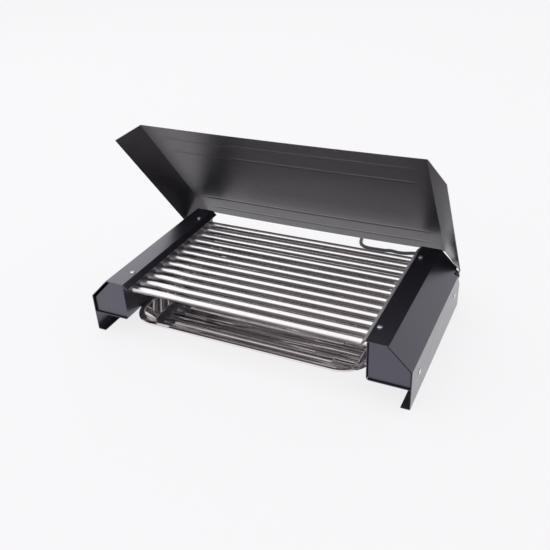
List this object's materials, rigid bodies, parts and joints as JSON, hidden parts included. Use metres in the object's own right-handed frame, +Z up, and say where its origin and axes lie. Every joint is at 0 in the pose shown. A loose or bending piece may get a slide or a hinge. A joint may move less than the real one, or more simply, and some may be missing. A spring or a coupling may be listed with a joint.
{
  "type": "electric grill",
  "caption": "Countertop electric grill: folded steel side housings joined by tubular heating rods, with a slide-out drip tray, a rear-hinged folded lid and a mains lead.",
  "frame": {"origin": "on the table, under the middle of the whole grill with its lid standing open, without the mains lead", "axes": "+X along the heating rods to the housing that the lead leaves, +Y from the front to the hinge side, +Z up"},
  "size_m": [0.5642, 0.6383, 0.3237],
  "materials": {
    "housing_paint": "satin black powder coat",
    "lid_paint": "semi-gloss black paint",
    "rod_steel": "bright drawn stainless tube",
    "tray_steel": "polished stainless sheet",
    "fastener_zinc": "bright zinc plate",
    "link_brass": "nickel plated",
    "block_ceramic": "matte unglazed",
    "lead_sleeve": "dark grey textile covered lead",
    "black_rubber": "matte moulded",
    "brown_sleeve": "matte",
    "blue_sleeve": "matte",
    "earth_sleeve": "matte"
  },
  "bodies": {
    "grill_body": {"right_cover": "housing_paint", "left_cover": "housing_paint", "right_inner_channel": "housing_paint", "left_inner_channel": "housing_paint", "right_front_cap": "housing_paint", "left_front_cap": "housing_paint", "right_rear_cap": "housing_paint", "left_rear_cap": "housing_paint", "heating_rod_01": "rod_steel", "heating_rod_02": "rod_steel", "heating_rod_03": "rod_steel", "heating_rod_04": "rod_steel", "heating_rod_05": "rod_steel", "heating_rod_06": "rod_steel", "heating_rod_07": "rod_steel", "heating_rod_08": "rod_steel", "heating_rod_09": "rod_steel", "heating_rod_10": "rod_steel", "heating_rod_11": "rod_steel", "heating_rod_12": "rod_steel", "left_link_1": "link_brass", "left_link_2": "link_brass", "left_link_3": "link_brass", "left_link_4": "link_brass", "left_link_5": "link_brass", "left_link_6": "link_brass", "right_link_1": "link_brass", "right_link_2": "link_brass", "right_link_3": "link_brass", "right_link_4": "link_brass", "right_link_5": "link_brass", "right_screw_top_front": "fastener_zinc", "right_screw_top_rear": "fastener_zinc", "right_screw_side_front": "fastener_zinc", "right_screw_side_rear": "fastener_zinc", "left_screw_top_front": "fastener_zinc", "left_screw_top_rear": "fastener_zinc", "left_screw_side_front": "fastener_zinc", "left_screw_side_rear": "fastener_zinc", "right_tray_rail": "housing_paint", "left_tray_rail": "housing_paint", "right_hinge_rivet": "lid_paint", "left_hinge_rivet": "lid_paint", "terminal_block": "block_ceramic", "live_wire": "brown_sleeve", "neutral_wire": "blue_sleeve", "earth_wire": "earth_sleeve", "strain_relief": "black_rubber", "power_cord": "lead_sleeve", "cord_coil": "lead_sleeve", "power_plug": "black_rubber", "plug_pin_1": "fastener_zinc", "plug_pin_2": "fastener_zinc"},
    "lid": {"lid": "lid_paint"},
    "tray": {"drip_tray": "tray_steel"}
  },
  "joints": [
    {"name": "lid_hinge", "type": "hinge", "parent": "grill_body", "child": "lid", "pos_m": [0, 0.12668, 0.0632], "axis": [1, 0, 0], "range_deg": [-37.1, 52.9]},
    {"name": "tray_slide", "type": "slide", "parent": "grill_body", "child": "tray", "axis": [0, -1, 0], "range_m": [0, 0.24]}
  ]
}
